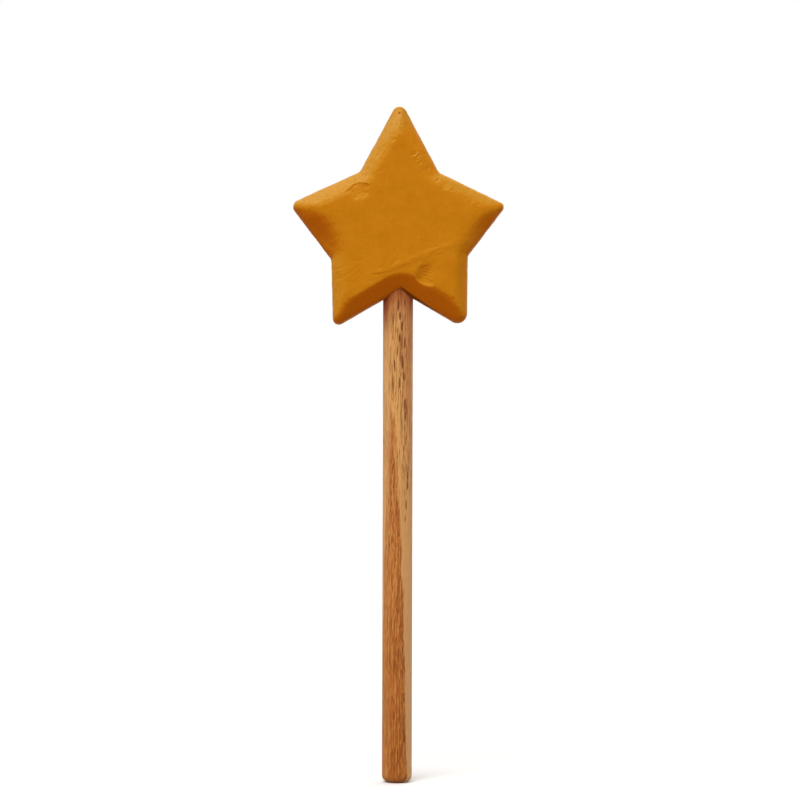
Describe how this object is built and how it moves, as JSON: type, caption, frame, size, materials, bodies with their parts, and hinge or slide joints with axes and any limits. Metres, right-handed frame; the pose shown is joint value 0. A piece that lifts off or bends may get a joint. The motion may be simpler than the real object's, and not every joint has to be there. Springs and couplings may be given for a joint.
{
  "type": "toy magic wand",
  "caption": "Toy magic wand: a whittled wooden star with broad soft bevels, painted mustard, glued onto a round oak stick with a rounded lower end.",
  "frame": {"origin": "middle of the stick's lower end, on the stick's axis", "axes": "+Z along the stick towards the star, +Y out of the star's back, so the star's face looks along -Y"},
  "size_m": [0.0843, 0.022, 0.2702],
  "materials": {
    "star_paint": "matte mustard paint over whittled wood",
    "oak": "bare sanded oak",
    "wood_glue": "cured wood glue"
  },
  "bodies": {
    "root": {"star_head": "star_paint", "stick": "oak", "glue_bond": "wood_glue"}
  },
  "joints": []
}
